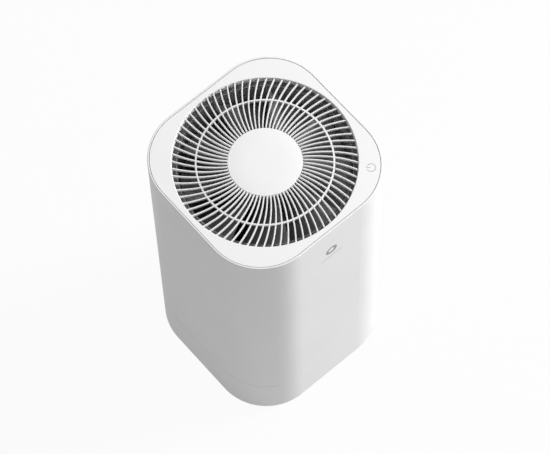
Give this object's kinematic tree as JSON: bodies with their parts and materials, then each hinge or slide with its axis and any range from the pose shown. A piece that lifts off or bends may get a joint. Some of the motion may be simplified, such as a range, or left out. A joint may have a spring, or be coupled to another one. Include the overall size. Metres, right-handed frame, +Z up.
{
  "type": "air purifier",
  "caption": "Rounded square tower air purifier: rear door over a round filter, mixed-flow fan, spiral outlet grille and touch key in the top.",
  "frame": {"origin": "middle of the footprint, on the floor under the rubber feet", "axes": "+Z up out of the outlet grille, -Y out of the front face with the status light, +Y out of the rear door"},
  "size_m": [0.25, 0.25, 0.474],
  "materials": {
    "white_shell": "satin white moulded plastic",
    "white_top": "satin white moulded plastic",
    "dark_duct": "matt dark grey",
    "dark_blade": "satin dark grey",
    "black_foam": "matt foam",
    "rubber": "matt",
    "steel": "zinc plated",
    "core_steel": "laminated",
    "copper": "enamelled copper",
    "magnet": "nickel",
    "light_guide": "translucent grey",
    "status_dark": "smoked",
    "status_pale": "translucent grey",
    "circuit_board": "green solder mask",
    "black_plastic": "matt",
    "inner_plastic": "matt white",
    "switch_button": "matt",
    "lead_sheath": "matt",
    "filter_paper": "pleated paper",
    "filter_end": "matt grey",
    "filter_core_plastic": "matt",
    "filter_mesh": "open net",
    "tab_fabric": "woven",
    "door_mesh": "fine net"
  },
  "bodies": {
    "housing": {"outer_shell": "white_shell", "base_tray": "white_shell", "rubber_feet": "rubber", "base_screws": "steel", "shell_screws": "steel", "bay_floor": "inner_plastic", "fan_deck": "inner_plastic", "duct_screws": "steel", "fan_bellmouth": "dark_duct", "fan_duct": "dark_duct", "duct_seal": "black_foam", "motor_bracket": "dark_duct", "bracket_screws": "steel", "lower_bearing": "steel", "upper_bearing": "steel", "stator_core": "core_steel", "stator_windings": "copper", "outlet_grille": "white_top", "grille_cap": "white_top", "grille_screws": "steel", "top_panel": "white_top", "power_key_light": "light_guide", "touch_board": "circuit_board", "touch_harness": "lead_sheath", "status_lens": "status_dark", "status_bar": "status_pale", "status_board": "circuit_board", "power_board": "circuit_board", "control_board": "circuit_board", "board_screws": "steel", "mains_inlet": "black_plastic", "inlet_pins": "steel", "mains_lead": "lead_sheath", "dust_sensor": "black_plastic", "magnet_keepers": "steel", "interlock_switch": "black_plastic"},
    "fan_rotor": {"impeller": "dark_blade", "rotor_can": "steel", "magnet_ring": "magnet", "motor_shaft": "steel", "shaft_nut": "steel"},
    "filter": {"filter_media": "filter_paper", "filter_bottom_cap": "filter_end", "filter_top_cap": "filter_end", "filter_core": "filter_core_plastic", "filter_net": "filter_mesh", "filter_seal": "black_foam", "filter_pull_tab": "tab_fabric"},
    "door": {"rear_door": "white_shell", "door_net": "door_mesh", "door_magnets": "magnet"},
    "sensor_lid": {"sensor_cover": "white_shell"},
    "plunger": {"switch_plunger": "switch_button"}
  },
  "joints": [
    {"name": "fan_spin", "type": "hinge", "parent": "housing", "child": "fan_rotor", "pos_m": [0, 0, 0.434], "axis": [0, 0, -1], "continuous": true},
    {"name": "door_slide", "type": "slide", "parent": "housing", "child": "door", "axis": [0, 1, 0], "range_m": [0, 0.32]},
    {"name": "filter_slide", "type": "slide", "parent": "housing", "child": "filter", "axis": [0, 1, 0], "range_m": [0, 0.24]},
    {"name": "sensor_cover_slide", "type": "slide", "parent": "housing", "child": "sensor_lid", "axis": [0, 1, 0], "range_m": [0, 0.04]},
    {"name": "switch_plunger_slide", "type": "slide", "parent": "housing", "child": "plunger", "axis": [0, -1, 0], "range_m": [0, 0.001], "stiffness_N_per_m": 150}
  ],
  "couplings": [
    {"joint": "filter_slide", "follows": "door_slide", "ratio": 0.75}
  ]
}
